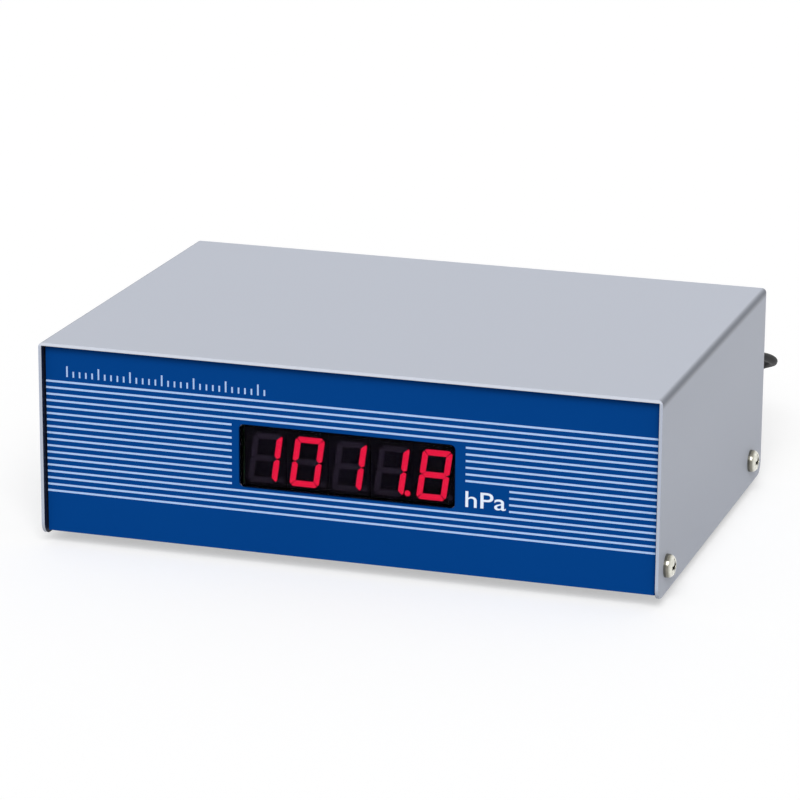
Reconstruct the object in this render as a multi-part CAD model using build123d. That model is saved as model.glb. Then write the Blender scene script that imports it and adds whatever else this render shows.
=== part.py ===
from build123d import *

import math
import os

# Digital barometer with five red digits, in a case of two folded sheets. Sizes are in millimetres.
# X runs to the right, Y to the back and Z up. The origin is on the floor, under the middle of the case.

# The case as a whole
CASE_WIDTH = 190.0
CASE_DEPTH = 133.0
CASE_HEIGHT = 60.0  # the cover, from its lower edge to its top
COVER_RAISE = 3.0  # from the floor to the cover's lower edge
SHEET = 1.0
BEND = 0.4  # inside radius of every fold

# Cover
COVER_CORNER = 4.0  # lower corners of its sides
COVER_FIT = 0.3  # between the cover and the chassis

# Chassis
CHASSIS_LIFT = 0.8  # from the cover's lower edge up to the chassis
FRONT_RECESS = 2.0  # from the cover's front edge back to the front panel
REAR_RECESS = 2.0  # from the cover's rear edge forward to the rear wall
FLANGE_HEIGHT = 16.0
FLANGE_GAP = 0.6  # between the end of a flange and the wall beside it
NOTCH = 2.2  # relief cut at the end of a side flange's fold
RELIEF = 3.2  # from the chassis's side in to the end of the relief cuts
VENT_COUNT = 9
VENT_PITCH = 7.0
VENT_WIDTH = 2.4
VENT_LENGTH = 22.0
VENT_X = -40.0
VENT_Z = 36.0

# Screws: head radius and height, rounding of the head, shank radius, length, cross recess
COVER_SCREW = dict(head=3.5, height=2.6, edge=1.9, shank=1.95, length=9.0, cross=4.8, slot=1.2, depth=2.0)
BOARD_SCREW = dict(head=2.75, height=2.0, edge=0.6, shank=1.45, length=6.0, cross=2.8, slot=0.7, depth=1.1)
SHANK_FIT = 0.05  # round a shank in its thread
HOLE_FIT = 0.25  # round a shank in a clear hole
SCREW_FRONT = 9.0  # from the cover's front edge
SCREW_REAR = 16.0  # from the cover's rear edge
SCREW_HEIGHT = 8.3  # above the cover's lower edge
NUT_RADIUS = 4.0
NUT_LENGTH = 4.0
RECESS_TAPER = 12.0  # of a cross recess, in degrees
SPIGOT_WALL = 0.7  # of a pressed-in nut's or standoff's spigot, round its bore
PRESS_FIT = 0.03  # round a spigot in its hole

# Feet
FOOT_RADIUS = 6.2
FOOT_TAPER = 0.8
FOOT_INSET_X = 15.0
FOOT_INSET_Y = 25.0

# Front panel and what is printed on it
PANEL = 1.0
PANEL_MARGIN = 0.2
PANEL_FOOT = 1.3  # its lower edge, above the cover's lower edge
INK = 0.05
STRIPE_COUNT = 18
STRIPE_PITCH = 2.0
STRIPE_WIDTH = 0.62
STRIPE_DROP = 12.1  # from the cover's top down to the first stripe's middle
STRIPE_GAP_LEFT = 2.4  # from the window to a broken stripe
STRIPE_GAP_RIGHT = 3.3
MARK_ROOM = 13.2  # the stripes beside the unit mark start this much further out
FIRST_BROKEN = 4
LAST_BROKEN = 13
FIRST_MARKED = 10
TICK_COUNT = 32
TICK_PITCH = 2.0
TICK_WIDTH = 0.5
TICK_SHORT = 1.8
TICK_LONG = 3.3
TICKS_PER_LONG = 5
TICK_MARGIN = 6.5  # from the end of the panel
TICK_RISE = 1.65  # from the first stripe's middle to the foot of the ticks

# Window
WINDOW_ROOM = 1.0  # wider than the row of digit modules
WINDOW_HEIGHT = 19.0
WINDOW_CORNER = 1.4
WINDOW_FIT = 0.2
WINDOW_FLANGE = 3.5  # how far it reaches behind the wall
WINDOW_FLANGE_THICK = 1.0
WINDOW_SET = 0.2  # its face, behind the panel's
WINDOW_X = 0.4
WINDOW_DROP = 29.35  # from the cover's top down to the window's middle

# Digits: a module is the housing of one digit
MODULE_PITCH = 13.0
MODULE_PLAY = 0.2  # between two modules
MODULE_OVER = 1.2  # taller than the window
MODULE_DEPTH = 7.2
MODULE_GAP = 0.2  # behind the window
MODULE_DROP = 0.95  # the digits' middle, below the window's
DIGIT_WIDTH = 9.0
DIGIT_HEIGHT = 15.2
DIGIT_SLANT = math.tan(math.radians(7.8))
SEGMENT_WIDTH = 1.7
SEGMENT_CORNER = 1.0
SEGMENT_SPLIT = 0.12  # half the split between two segments
SEGMENT_DEEP = 0.6
SEGMENT_FIT = 0.02
POINT_RADIUS = 0.85
POINT_X = 4.85
POINT_RISE = 1.25  # the point's middle, above the foot of the digit
READING = ("bc", "abcdef", "bc", "bcp", "abcdefg")  # lit segments, digit by digit
PINS_PER_ROW = 5
PIN_PITCH = 2.54
PIN_ROWS = 15.24
PIN_WIDE = 0.5
PIN_THICK = 0.25
PIN_FIT = 0.12
PIN_PROUD = 1.0  # behind the board

# Boards
BOARD = 1.6
DISPLAY_BOARD_SIDE = 25.0  # from the window's edge to the display board's
DISPLAY_BOARD_HEIGHT = 34.0
STANDOFF_RADIUS = 3.0
STANDOFF_INSET = 6.0  # from two edges of its board
MAIN_BOARD_WIDTH = 150.0
MAIN_BOARD_BACK = 19.0  # from the display board to the main board
MAIN_BOARD_CLEAR = 20.6  # from the main board to the rear wall
MAIN_BOARD_RAISE = 8.0  # above the bottom of the case

# Ribbon cable
RIBBON_X = -30.0
RIBBON_WIDTH = 15.0
RIBBON_THICK = 0.9
RIBBON_BEND = 6.0
SOCKET_LENGTH = 20.0
SOCKET_WIDTH = 8.0
SOCKET_HEIGHT = 9.0
SOCKET_CHAMFER = 0.8
SOCKET_INSET = 7.0  # from the main board's front edge to the socket's middle

# Lead
LEAD_RADIUS = 1.4
LEAD_INSET = 11.0  # from the cover's side
LEAD_Z = 31.8  # above the cover's lower edge
LEAD_FIT = 0.05
BUSHING_HOLE = 4.0
BUSHING_HEAD = 5.2
BUSHING_HEAD_THICK = 2.5
BUSHING_LOCK = 4.8
BUSHING_LOCK_LENGTH = 6.0
BUSHING_TAIL = 9.5
BUSHING_TAIL_THICK = 3.3
BUSHING_TAIL_THIN = 2.2
BUSHING_GROOVES = 4
BUSHING_GROOVE = 0.9
BUSHING_GROOVE_DEEP = 0.45
BUSHING_CHAMFER = 0.7
BUSHING_LEAD_IN = 1.0

# Coil of the rest of the lead
COIL_LEFT = 69.0  # its middle, to the left of the lead's exit
COIL_BACK = 30.5  # its middle, behind the cover's rear edge
COIL_MIDDLE = 15.6  # radius at the middle of its turns
COIL_WIDE = 11.6
COIL_HIGH = 10.2
COIL_ROUND = 2.0
TIE_THICK = 0.5
TIE_WIDE = 4.0
TIE_FIT = 0.4
TIE_ANGLE = 200.0

# Adapter on the end of the lead
ADAPTER_LENGTH = 46.0
ADAPTER_DEPTH = 26.0
ADAPTER_WIDTH = 38.0  # it lies on its long side, so this is upright
ADAPTER_ROUND = 3.0
ADAPTER_FACE = 3.0
NOZZLE_LENGTH = 9.0
NOZZLE_THICK = 3.2
NOZZLE_THIN = 2.2
BLADE_THICK = 1.5
BLADE_WIDE = 6.3
BLADE_LENGTH = 17.0
BLADE_SPACING = 12.7
BLADE_HOLE = 1.5
BLADE_HOLE_BACK = 3.5  # from the tip
BLADE_FIT = 0.05

# Planes and heights that the sizes above give
half_width = CASE_WIDTH / 2
half_depth = CASE_DEPTH / 2
cover_foot = COVER_RAISE
cover_top = cover_foot + CASE_HEIGHT
wall_half = half_width - SHEET - COVER_FIT
wall_top = cover_top - SHEET - COVER_FIT
bend_out = BEND + SHEET
chassis_under = cover_foot + CHASSIS_LIFT
floor_top = chassis_under + SHEET
panel_face = -half_depth + FRONT_RECESS
panel_half = wall_half - PANEL_MARGIN
wall_front = panel_face + PANEL
wall_inner = wall_front + SHEET
rear_outer = half_depth - REAR_RECESS
rear_inner = rear_outer - SHEET
window_width = len(READING) * MODULE_PITCH + WINDOW_ROOM
window_z = cover_top - WINDOW_DROP
stripe_top = cover_top - STRIPE_DROP
window_back = wall_inner + WINDOW_FLANGE_THICK
module_face = window_back + MODULE_GAP
digit_z = window_z - MODULE_DROP
display_width = window_width + 2 * DISPLAY_BOARD_SIDE
display_front = module_face + MODULE_DEPTH
display_rear = display_front + BOARD
main_front = display_rear + MAIN_BOARD_BACK
main_rear = rear_inner - MAIN_BOARD_CLEAR
main_middle = (main_front + main_rear) / 2
main_under = floor_top + MAIN_BOARD_RAISE
main_top = main_under + BOARD
lead_x = half_width - LEAD_INSET
lead_z = cover_foot + LEAD_Z
lead_low = TIE_THICK + LEAD_RADIUS + LEAD_FIT
plug_z = ADAPTER_WIDTH / 2
screw_z = cover_foot + SCREW_HEIGHT
screw_places = [-half_depth + SCREW_FRONT, half_depth - SCREW_REAR]
board_thread = BOARD_SCREW["shank"] + SHANK_FIT
board_hole = BOARD_SCREW["shank"] + HOLE_FIT
cover_thread = COVER_SCREW["shank"] + SHANK_FIT

# Route of the lead behind the case, bend by bend: from the bushing to the coil, and on to the adapter.
# X and Y are measured from its exit, which is level with the cover's rear edge, and Z from the floor.
RUN_POINTS = [
    (0.0, 0.0, lead_z),
    (0.0, 17.5, lead_z),
    (2.8, 34.0, 31.6),
    (4.8, 49.5, 25.6),
    (-2.8, 62.5, 20.4),
    (-17.5, 66.0, 14.0),
    (-32.5, 63.0, 7.4),
    (-49.0, 56.8, 2.8),
    (-65.5, 53.6, lead_low),
]
TAIL_POINTS = [
    (-78.8, 51.4, 8.8),
    (-88.0, 47.1, 9.4),
    (-96.5, 41.3, 11.6),
    (-104.5, 35.3, 15.2),
    (-113.5, 31.5, plug_z),
    (-123.0, 31.5, plug_z),
]
lead_run = [(lead_x + x, half_depth + y, z) for x, y, z in RUN_POINTS]
lead_tail = [(lead_x + x, half_depth + y, z) for x, y, z in TAIL_POINTS]
coil_x = lead_x - COIL_LEFT
coil_y = half_depth + COIL_BACK

LOW = (Align.CENTER, Align.CENTER, Align.MIN)
PAST = 1.0  # how far a cut runs past the faces that it opens


def block(low, high):
    """A box between two opposite corners."""
    size = [b - a for a, b in zip(low, high)]
    return Pos(*low) * Box(*size, align=(Align.MIN,) * 3)


def facing_front(x, y, z):
    """A plane that is seen from the front, with its X to the right and its Y up."""
    return Plane(origin=(x, y, z), x_dir=(1, 0, 0), z_dir=(0, -1, 0))


def facing_rear(x, y, z):
    """A plane that is seen from the rear, with its Y down."""
    return Plane(origin=(x, y, z), x_dir=(1, 0, 0), z_dir=(0, 1, 0))


def facing_side(side, x, y):
    """A plane that is seen from one side, at the height of the cover's screws."""
    return Plane(origin=(side * x, y, screw_z), z_dir=(side, 0, 0))


def punch(plane, outline, depth):
    """A cutter of this outline, from a plane back through a thickness."""
    return extrude(plane * Pos(0, 0, PAST) * outline, amount=-(depth + 2 * PAST))


def folded(width, height):
    """Section of a sheet that is folded to a U, open upwards, with its base on the X axis."""
    outside = Pos(0, height / 2) * Rectangle(width, height)
    outside = fillet(outside.vertices().group_by(Axis.Y)[0], bend_out)
    inside = Pos(0, height / 2 + SHEET) * Rectangle(width - 2 * SHEET, height)
    inside = fillet(inside.vertices().group_by(Axis.Y)[0], BEND)
    return outside - inside


def pan_screw(screw):
    """Pan-head screw with a cross recess: it stands on the origin, head up and shank down."""
    head = Cylinder(screw["head"], screw["height"], align=LOW)
    head = fillet(head.edges().group_by(Axis.Z)[-1], screw["edge"])
    cross = Rectangle(screw["cross"], screw["slot"]) + Rectangle(screw["slot"], screw["cross"])
    recess = extrude(Pos(0, 0, screw["height"]) * cross, amount=-screw["depth"], taper=RECESS_TAPER)
    shank = Pos(0, 0, -screw["length"]) * Cylinder(screw["shank"], screw["length"], align=LOW)
    return head - recess + shank


BEND_SHARE = 0.45  # how much of a run the arc at one of its ends may use


def bend_radii(points):
    """The largest radii that the runs of a route allow."""
    radii = []
    for before, here, after in zip(points, points[1:], points[2:]):
        into = Vector(*here) - Vector(*before)
        out = Vector(*after) - Vector(*here)
        half_turn = math.radians(into.get_angle(out) / 2)
        radii.append(BEND_SHARE * min(into.length, out.length) / math.tan(half_turn))
    return radii


def cord(name, points, radius):
    """A round cord along a route of straight runs and tangent arcs."""
    radii = bend_radii(points)
    path = FilletPolyline(*points, radius=radii)
    tube = sweep(Plane(origin=path @ 0, z_dir=path % 0) * Circle(radius), path=path)
    swept = math.pi * radius**2 * path.length
    print(name, "radii", [round(r, 1) for r in radii], "length", round(path.length, 1))
    print(name, "volume over section times length", round(tube.volume / swept, 4))
    return tube


# The cover is one sheet folded to a U: the top and both sides. Its sides have round lower corners.
def top_cover():
    section = Plane.XZ * Pos(0, cover_top) * Rot(0, 0, 180) * folded(CASE_WIDTH, CASE_HEIGHT)
    cover = extrude(section, amount=half_depth, both=True)
    corners = [e for e in cover.edges().filter_by(Axis.X).group_by(Axis.Z)[0] if e.length < 2 * SHEET]
    cover = fillet(corners, COVER_CORNER)
    hole = Circle(COVER_SCREW["shank"] + HOLE_FIT)
    for y in screw_places:
        for side in (-1, 1):
            cover -= punch(facing_side(side, half_width, y), hole, SHEET)
    return cover


def relief(front, rear, x):
    """A cutter for a strip of the chassis's bottom, from x out to past its side, with its fold."""
    low = (x, front, chassis_under - PAST)
    return block(low, (wall_half + PAST, rear, chassis_under + bend_out + PAST))


# The chassis is the other sheet: front wall, bottom and rear wall, with a low flange along each side.
def chassis():
    depth = rear_outer - wall_front
    height = wall_top - chassis_under
    section = Plane.YZ * Pos((rear_outer + wall_front) / 2, chassis_under) * folded(depth, height)
    tray = extrude(section, amount=wall_half, both=True)
    fold_front = wall_front + bend_out
    fold_rear = rear_outer - bend_out
    middle = wall_half - RELIEF
    strip = relief(fold_front, fold_rear, middle)
    tray -= [strip, mirror(strip, about=Plane.YZ)]

    flange_front = wall_inner + FLANGE_GAP
    flange_rear = rear_inner - FLANGE_GAP
    section = Plane.XZ.offset(-flange_front) * Pos(0, chassis_under)
    flanges = extrude(section * folded(2 * wall_half, FLANGE_HEIGHT), amount=flange_front - flange_rear)
    flanges -= block(
        (-middle, flange_front - PAST, chassis_under - PAST),
        (middle, flange_rear + PAST, floor_top + PAST),
    )
    for front, rear in ((flange_front - PAST, fold_front + NOTCH), (fold_rear - NOTCH, flange_rear + PAST)):
        corner = relief(front, rear, middle)
        flanges -= [corner, mirror(corner, about=Plane.YZ)]
    sheet = tray + flanges

    sheet -= punch(facing_front(WINDOW_X, wall_front, window_z), window_opening(), SHEET)
    sheet -= punch(facing_rear(lead_x, rear_outer, lead_z), Circle(BUSHING_HOLE), SHEET)
    vents = facing_rear(VENT_X, rear_outer, VENT_Z)
    vent = SlotOverall(VENT_LENGTH, VENT_WIDTH)
    for place in range(VENT_COUNT):
        x = (place - (VENT_COUNT - 1) / 2) * VENT_PITCH
        sheet -= punch(vents * Pos(x, 0) * Rot(0, 0, 90), vent, SHEET)
    nut_hole = Circle(cover_thread + SPIGOT_WALL + PRESS_FIT)
    for y in screw_places:
        for side in (-1, 1):
            sheet -= punch(facing_side(side, wall_half, y), nut_hole, SHEET)
    spigot_hole = Circle(board_thread + SPIGOT_WALL + PRESS_FIT)
    for x, z in display_corners():
        sheet -= punch(facing_front(x, wall_front, z), spigot_hole, SHEET)
    for x, y in main_corners():
        sheet -= punch(Plane(origin=(x, y, floor_top)), spigot_hole, SHEET)
    return sheet


def display_corners():
    """Where the display board is fixed, as X and Z."""
    across = display_width / 2 - STANDOFF_INSET
    up = DISPLAY_BOARD_HEIGHT / 2 - STANDOFF_INSET
    return [(WINDOW_X + i * across, digit_z + j * up) for i in (-1, 1) for j in (-1, 1)]


def main_corners():
    """Where the main board is fixed, as X and Y."""
    across = MAIN_BOARD_WIDTH / 2 - STANDOFF_INSET
    along = (main_rear - main_front) / 2 - STANDOFF_INSET
    return [(i * across, main_middle + j * along) for i in (-1, 1) for j in (-1, 1)]


# Four screws hold the cover on the nuts that are pressed into the flanges.
def cover_screws():
    screw = pan_screw(COVER_SCREW)
    return [
        facing_side(side, half_width, y) * screw
        for side in (-1, 1)
        for y in screw_places
    ]


def clinch_nuts():
    nut = Cylinder(NUT_RADIUS, NUT_LENGTH, align=LOW)
    nut += Pos(0, 0, -SHEET) * Cylinder(cover_thread + SPIGOT_WALL, SHEET, align=LOW)
    nut -= punch(Plane.XY.offset(NUT_LENGTH), Circle(cover_thread), NUT_LENGTH + SHEET)
    return [
        Plane(origin=(side * (wall_half - SHEET), y, screw_z), z_dir=(-side, 0, 0)) * nut
        for side in (-1, 1)
        for y in screw_places
    ]


# Four moulded rubber feet are stuck under the chassis.
def rubber_feet():
    foot = Cone(FOOT_RADIUS - FOOT_TAPER, FOOT_RADIUS, chassis_under, align=LOW)
    foot = fillet(foot.edges().group_by(Axis.Z)[0], FOOT_TAPER)
    return [
        Pos(side * (half_width - FOOT_INSET_X), end * (half_depth - FOOT_INSET_Y), 0) * foot
        for side in (-1, 1)
        for end in (-1, 1)
    ]


def window_opening():
    """Outline of the cut-out that the window fills, about the window's middle."""
    width = window_width + 2 * WINDOW_FIT
    height = WINDOW_HEIGHT + 2 * WINDOW_FIT
    return RectangleRounded(width, height, WINDOW_CORNER + WINDOW_FIT)


# The front panel is a printed aluminium plate that is stuck on the front wall and hides its fold.
def front_panel():
    low = (-panel_half, panel_face, cover_foot + PANEL_FOOT)
    plate = block(low, (panel_half, wall_front, wall_top - PANEL_MARGIN))
    return plate - punch(facing_front(WINDOW_X, panel_face, window_z), window_opening(), PANEL)


def printed(left, right, foot, top):
    """One printed bar on the panel."""
    return block((left, panel_face - INK, foot), (right, panel_face, top))


# White stripes run from end to end of the panel, and stop short of the window and of the unit mark.
def stripe_print():
    left_stop = WINDOW_X - window_width / 2 - STRIPE_GAP_LEFT
    right_stop = WINDOW_X + window_width / 2 + STRIPE_GAP_RIGHT
    bars = []
    for row in range(STRIPE_COUNT):
        middle = stripe_top - row * STRIPE_PITCH
        foot = middle - STRIPE_WIDTH / 2
        top = middle + STRIPE_WIDTH / 2
        if FIRST_BROKEN <= row <= LAST_BROKEN:
            restart = right_stop + (MARK_ROOM if row >= FIRST_MARKED else 0)
            bars.append(printed(-panel_half, left_stop, foot, top))
            bars.append(printed(restart, panel_half, foot, top))
        else:
            bars.append(printed(-panel_half, panel_half, foot, top))
    return bars


# A row of graduation ticks above the stripes.
def scale_print():
    foot = stripe_top + TICK_RISE
    start = -panel_half + TICK_MARGIN
    bars = []
    for tick in range(TICK_COUNT):
        left = start + tick * TICK_PITCH
        height = TICK_SHORT if tick % TICKS_PER_LONG else TICK_LONG
        bars.append(printed(left, left + TICK_WIDTH, foot, foot + height))
    return bars


# The window is smoked acrylic: a raised face fills the cut-out, and a flange is glued behind the wall.
def display_window():
    behind = facing_front(WINDOW_X, wall_inner, window_z)
    face = RectangleRounded(window_width, WINDOW_HEIGHT, WINDOW_CORNER)
    width = window_width + 2 * WINDOW_FLANGE
    height = WINDOW_HEIGHT + 2 * WINDOW_FLANGE
    flange = RectangleRounded(width, height, WINDOW_CORNER + WINDOW_FLANGE)
    boss = extrude(behind * face, amount=SHEET + PANEL - WINDOW_SET)
    return boss + extrude(behind * flange, amount=-WINDOW_FLANGE_THICK)


def segment_outlines():
    """The seven segments of an upright digit and its point, each as a face about the digit's middle."""
    w = DIGIT_WIDTH / 2
    h = DIGIT_HEIGHT / 2
    t = SEGMENT_WIDTH
    c = SEGMENT_CORNER
    s = SEGMENT_SPLIT
    end = [(-w + c / 2 + s, h - c / 2 + s), (-w + c + s, h), (-w + t + s, h - t)]
    top = [end[0], end[1], (w - c - s, h), (w - c / 2 - s, h - c / 2 + s), (w - t - s, h - t), end[2]]
    upper_right = [
        (w - c / 2 + s, h - c / 2 - s),
        (w, h - c - s),
        (w, t / 4 + s),
        (w - t / 2, s),
        (w - t, t / 2 + s),
        (w - t, h - t - s),
    ]
    middle = [
        (-w + t / 2 + s, 0),
        (-w + t + s, t / 2),
        (w - t - s, t / 2),
        (w - t / 2 - s, 0),
        (w - t - s, -t / 2),
        (-w + t + s, -t / 2),
    ]
    outlines = {
        "a": top,
        "b": upper_right,
        "c": [(x, -y) for x, y in upper_right],
        "d": [(x, -y) for x, y in top],
        "e": [(-x, -y) for x, y in upper_right],
        "f": [(-x, y) for x, y in upper_right],
        "g": middle,
    }
    faces = {}
    for letter, points in outlines.items():
        slanted = [(x + y * DIGIT_SLANT, y) for x, y in points]
        faces[letter] = make_face(Polyline(*slanted, close=True))
    faces["p"] = Pos(POINT_X, -h + POINT_RISE) * Circle(POINT_RADIUS)
    return faces


def digit_x(place):
    """The middle of a digit, counted from the left."""
    return WINDOW_X + (place - (len(READING) - 1) / 2) * MODULE_PITCH


# A digit's housing is a black block with a pocket for each light guide.
def digit_housing(place):
    plane = facing_front(digit_x(place), module_face, digit_z)
    outline = Rectangle(MODULE_PITCH - MODULE_PLAY, WINDOW_HEIGHT + MODULE_OVER)
    housing = extrude(plane * outline, amount=-MODULE_DEPTH)
    for face in segment_outlines().values():
        pocket = offset(face, amount=SEGMENT_FIT, kind=Kind.INTERSECTION)
        housing -= extrude(plane * pocket, amount=-SEGMENT_DEEP)
    return housing


# The light guides are cast into the pockets. Those of the reading are lit.
def light_guides(lit):
    guides = []
    for place, letters in enumerate(READING):
        plane = facing_front(digit_x(place), module_face, digit_z)
        for letter, face in segment_outlines().items():
            if (letter in letters) == lit:
                guides.append(extrude(plane * face, amount=-SEGMENT_DEEP))
    return guides


def pin_places():
    """Where the digits' pins pass the display board, as X and Z."""
    return [
        (digit_x(place) + (pin - (PINS_PER_ROW - 1) / 2) * PIN_PITCH, digit_z + row * PIN_ROWS / 2)
        for place in range(len(READING))
        for pin in range(PINS_PER_ROW)
        for row in (-1, 1)
    ]


def digit_pins():
    long = BOARD + PIN_PROUD
    return [
        extrude(facing_front(x, display_front, z) * Rectangle(PIN_WIDE, PIN_THICK), amount=-long)
        for x, z in pin_places()
    ]


# The display board stands behind the front wall on four standoffs.
def display_board():
    outline = Rectangle(display_width, DISPLAY_BOARD_HEIGHT)
    board = extrude(facing_front(WINDOW_X, display_front, digit_z) * outline, amount=-BOARD)
    hole = Rectangle(PIN_WIDE + 2 * PIN_FIT, PIN_THICK + 2 * PIN_FIT)
    for x, z in pin_places():
        board -= punch(facing_front(x, display_front, z), hole, BOARD)
    for x, z in display_corners():
        board -= punch(facing_front(x, display_front, z), Circle(board_hole), BOARD)
    return board


def standoff(length, spigot):
    """Standoff on the XY plane, pressed through the sheet below it, with a blind thread from its top."""
    post = Cylinder(STANDOFF_RADIUS, length, align=LOW)
    post += Pos(0, 0, -spigot) * Cylinder(board_thread + SPIGOT_WALL, spigot, align=LOW)
    return post - Pos(0, 0, length) * Cylinder(board_thread, 2 * BOARD_SCREW["length"])


def display_standoffs():
    post = standoff(display_front - wall_inner, SHEET)
    return [Plane(origin=(x, wall_inner, z), z_dir=(0, 1, 0)) * post for x, z in display_corners()]


# The main board lies over the bottom of the case on four standoffs.
def main_board():
    half = MAIN_BOARD_WIDTH / 2
    board = block((-half, main_front, main_under), (half, main_rear, main_top))
    for x, y in main_corners():
        board -= punch(Plane(origin=(x, y, main_top)), Circle(board_hole), BOARD)
    for x, y in regulator_legs():
        board -= punch(Plane(origin=(x, y, main_top)), Rectangle(LEG_HOLE, LEG_HOLE), BOARD)
    return board


def board_standoffs():
    post = standoff(main_under - floor_top, SHEET)
    return [Pos(x, y, floor_top) * post for x, y in main_corners()]


# One kind of small screw holds both boards and the regulator.
def board_screws():
    screw = pan_screw(BOARD_SCREW)
    screws = [Plane(origin=(x, display_rear, z), z_dir=(0, 1, 0)) * screw for x, z in display_corners()]
    screws += [Pos(x, y, main_top) * screw for x, y in main_corners()]
    return screws + [facing_front(REGULATOR_X, regulator_y - REGULATOR_TAB, tab_hole_z) * screw]


# Chips: a moulded body with a row of bent legs along two sides, standing on a board.
CHIP_LEG = 0.4
CHIP_FOOT = 1.1
CHIP_LIFT = 0.2
CHIP_CHAMFER = 0.3
LEG_SHEET = 0.25


def chip(width, depth, height, legs, pitch):
    body = Pos(0, 0, CHIP_LIFT) * Box(width, depth, height, align=LOW)
    body = chamfer(body.edges().group_by(Axis.Z)[-1], CHIP_CHAMFER)
    shoulder = CHIP_LIFT + height / 2
    for side in (-1, 1):
        for leg in range(legs):
            x = (leg - (legs - 1) / 2) * pitch
            near = depth / 2
            points = [
                (near, shoulder),
                (near + CHIP_FOOT / 2, shoulder),
                (near + CHIP_FOOT / 2, LEG_SHEET),
                (near + CHIP_FOOT, LEG_SHEET),
                (near + CHIP_FOOT, 0),
                (near + CHIP_FOOT / 2 - LEG_SHEET, 0),
                (near + CHIP_FOOT / 2 - LEG_SHEET, shoulder - LEG_SHEET),
                (near, shoulder - LEG_SHEET),
            ]
            outline = make_face(Polyline(*[(side * y, z) for y, z in points], close=True))
            body += extrude(Plane.YZ.offset(x) * outline, amount=CHIP_LEG / 2, both=True)
    return body


DRIVER_X = 22.0
CONTROLLER_X = -6.0
CONVERTER_X = 26.0
CHIP_ROW = 26.0  # the chips' middle, from the main board's front edge


def driver_chip():
    body = chip(width=15.4, depth=7.5, height=2.3, legs=12, pitch=1.27)
    return facing_rear(WINDOW_X + DRIVER_X, display_rear, digit_z) * body


def controller_chip():
    body = chip(width=18.0, depth=7.5, height=2.3, legs=14, pitch=1.27)
    return Pos(CONTROLLER_X, main_front + CHIP_ROW, main_top) * body


def converter_chip():
    body = chip(width=10.3, depth=7.5, height=2.3, legs=8, pitch=1.27)
    return Pos(CONVERTER_X, main_front + CHIP_ROW, main_top) * body


# The pressure sensor is a moulded block with an open, barbed nozzle on top.
SENSOR_X = -46.0
SENSOR_SIDE = 14.0
SENSOR_HEIGHT = 7.5
SENSOR_CHAMFER = 0.6
NOZZLE_RADIUS = 2.4
NOZZLE_BORE = 1.2
NOZZLE_RISE = 6.0
BARB_FOOT = 2.9
BARB_TIP = 2.0
BARB_RISE = 2.0


def pressure_sensor():
    body = Box(SENSOR_SIDE, SENSOR_SIDE, SENSOR_HEIGHT, align=LOW)
    body = chamfer(body.edges().group_by(Axis.Z)[-1], SENSOR_CHAMFER)
    top = SENSOR_HEIGHT + NOZZLE_RISE
    body += Cylinder(NOZZLE_RADIUS, top - BARB_RISE, align=LOW)
    body += Pos(0, 0, top - BARB_RISE) * Cone(BARB_FOOT, BARB_TIP, BARB_RISE, align=LOW)
    body -= Pos(0, 0, top) * Cylinder(NOZZLE_BORE, top)
    return Pos(SENSOR_X, main_front + CHIP_ROW, main_top) * body


# Two trimmers set the zero and the span of the reading.
TRIMMER_X = -52.0
TRIMMER_PITCH = 12.0
TRIMMER_Y = 50.0  # from the main board's front edge
TRIMMER_SIDE = 9.5
TRIMMER_THICK = 4.8
TRIMMER_SCREW = 1.2
TRIMMER_SCREW_RISE = 1.0
TRIMMER_SCREW_X = -3.0
TRIMMER_SLOT = 0.5


def calibration_trimmers():
    screw = Cylinder(TRIMMER_SCREW, TRIMMER_SCREW_RISE, align=LOW)
    screw -= Pos(0, 0, TRIMMER_SCREW_RISE) * Box(4 * TRIMMER_SCREW, TRIMMER_SLOT, TRIMMER_SCREW_RISE)
    trimmer = Box(TRIMMER_SIDE, TRIMMER_THICK, TRIMMER_SIDE, align=LOW)
    trimmer += Pos(TRIMMER_SCREW_X, 0, TRIMMER_SIDE) * screw
    y = main_front + TRIMMER_Y
    return [Pos(TRIMMER_X + k * TRIMMER_PITCH, y, main_top) * trimmer for k in (0, 1)]


# The clock crystal is a drawn metal can with a rim.
CRYSTAL_LENGTH = 10.2
CRYSTAL_WIDTH = 4.0
CRYSTAL_HEIGHT = 3.5
CRYSTAL_RIM = 0.4
CRYSTAL_Y = 38.0  # from the main board's front edge


def crystal():
    outline = SlotOverall(CRYSTAL_LENGTH, CRYSTAL_WIDTH)
    can = extrude(outline, amount=CRYSTAL_HEIGHT)
    can = chamfer(can.edges().group_by(Axis.Z)[-1], CRYSTAL_RIM)
    can += extrude(offset(outline, amount=CRYSTAL_RIM), amount=CRYSTAL_RIM)
    return Pos(CONTROLLER_X, main_front + CRYSTAL_Y, main_top) * can


# The regulator stands against a finned heat sink, with its three legs through the board.
REGULATOR_X = 56.0
REGULATOR_BACK = 26.0  # the heat sink's face, from the main board's front edge
REGULATOR_WIDTH = 10.2
REGULATOR_BODY = 4.5
REGULATOR_TAB = 1.3
REGULATOR_FOOT = 3.0
REGULATOR_BODY_TOP = 12.0
REGULATOR_TOP = 18.4
REGULATOR_HOLE = 15.2
LEG_PITCH = 2.54
LEG_SIDE = 0.7
LEG_HOLE = 1.0
LEG_PROUD = 1.0
SINK_WIDTH = 24.0
SINK_HEIGHT = 26.0
SINK_BASE = 3.0
SINK_FIN = 9.0
SINK_FIN_THICK = 1.3
SINK_FIN_COUNT = 6

regulator_y = main_front + REGULATOR_BACK
tab_hole_z = main_top + REGULATOR_HOLE


def regulator_legs():
    """Where the regulator's legs pass the board, as X and Y."""
    y = regulator_y - REGULATOR_BODY / 2
    return [(REGULATOR_X + k * LEG_PITCH, y) for k in (-1, 0, 1)]


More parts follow.
